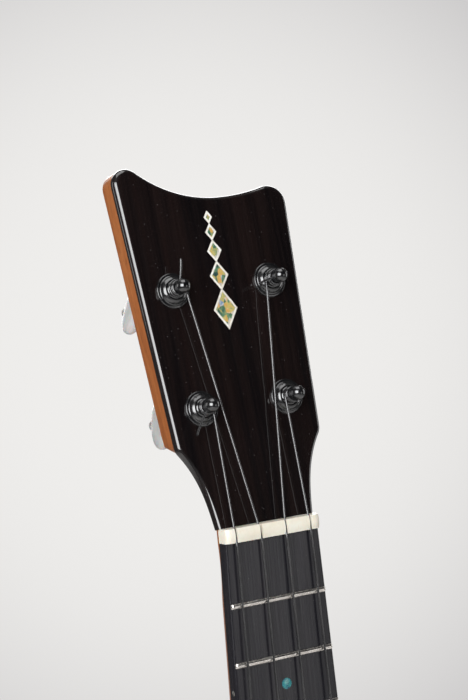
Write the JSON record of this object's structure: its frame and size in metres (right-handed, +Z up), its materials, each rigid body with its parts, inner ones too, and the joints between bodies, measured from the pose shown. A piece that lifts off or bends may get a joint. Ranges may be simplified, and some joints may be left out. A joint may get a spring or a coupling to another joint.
{
  "type": "ukulele",
  "caption": "Concert ukulele with a crown-shaped ebony headstock, turning rear-facing tuners, bone nut, fretted ebony fingerboard, nylon strings and a hollow koa body.",
  "frame": {"origin": "middle of the nut's front edge, on the fingerboard surface, where a yoke hanger takes the neck", "axes": "+Z up the neck towards the headstock, -Y out of the soundboard, +X to the treble side"},
  "size_m": [0.208, 0.0766, 0.602],
  "materials": {
    "koa": "figured reddish-brown koa under clear gloss",
    "koa_top": "straight-grained koa under clear gloss",
    "ebony_gloss": "near-black ebony, mirror polished",
    "ebony_satin": "oiled ebony, satin",
    "ebony_trim": "black binding under gloss",
    "pearl_inlay": "mother-of-pearl, polished flush",
    "abalone": "abalone shell, polished flush",
    "bone": "bleached bone, hand polished",
    "spruce": "bare planed spruce",
    "nickel_silver": "polished nickel silver",
    "black_metal": "gloss black over metal",
    "pearl_button": "translucent pearl buttons",
    "screw_steel": "nickel-plated screw",
    "nylon_washer": "white nylon",
    "nylon_string": "black nylon"
  },
  "bodies": {
    "root": {"headstock": "koa", "neck_shaft": "koa", "heel": "koa", "back_plate": "koa", "rim_left": "koa", "rim_right": "koa", "soundboard": "koa_top", "headplate": "ebony_gloss", "fingerboard": "ebony_satin", "bridge": "ebony_satin", "heel_cap": "ebony_satin", "top_binding": "ebony_trim", "back_binding": "ebony_trim", "end_strip": "ebony_trim", "head_inlay_border": "pearl_inlay", "side_dots": "pearl_inlay", "head_inlay_core": "abalone", "position_dots": "abalone", "rosette": "abalone", "nut": "bone", "saddle": "bone", "neck_dowels": "spruce", "neck_block": "spruce", "tail_block": "spruce", "top_lining_left": "spruce", "top_lining_right": "spruce", "back_lining_left": "spruce", "back_lining_right": "spruce", "cross_braces": "spruce", "fan_braces": "spruce", "bridge_patch": "spruce", "sound_hole_ring": "spruce", "back_braces": "spruce", "frets": "nickel_silver", "tuner_bushings": "black_metal", "tuner_ferrules": "black_metal", "friction_washers": "nylon_washer", "string_g": "nylon_string", "string_c": "nylon_string", "string_e": "nylon_string", "string_a": "nylon_string"},
    "tuner_g": {"post_g": "black_metal", "button_g": "pearl_button", "button_screw_g": "screw_steel", "string_end_g": "nylon_string"},
    "tuner_c": {"post_c": "black_metal", "button_c": "pearl_button", "button_screw_c": "screw_steel", "string_end_c": "nylon_string"},
    "tuner_e": {"post_e": "black_metal", "button_e": "pearl_button", "button_screw_e": "screw_steel", "string_end_e": "nylon_string"},
    "tuner_a": {"post_a": "black_metal", "button_a": "pearl_button", "button_screw_a": "screw_steel", "string_end_a": "nylon_string"}
  },
  "joints": [
    {"name": "tuner_g_turn", "type": "hinge", "parent": "root", "child": "tuner_g", "pos_m": [-0.0169, 0.01072, 0.04551], "axis": [0, -0.981, 0.1942], "continuous": true},
    {"name": "tuner_c_turn", "type": "hinge", "parent": "root", "child": "tuner_c", "pos_m": [-0.0192, 0.01877, 0.08617], "axis": [0, -0.981, 0.1942], "continuous": true},
    {"name": "tuner_e_turn", "type": "hinge", "parent": "root", "child": "tuner_e", "pos_m": [0.0192, 0.01877, 0.08617], "axis": [0, -0.981, 0.1942], "continuous": true},
    {"name": "tuner_a_turn", "type": "hinge", "parent": "root", "child": "tuner_a", "pos_m": [0.0169, 0.01072, 0.04551], "axis": [0, -0.981, 0.1942], "continuous": true}
  ]
}
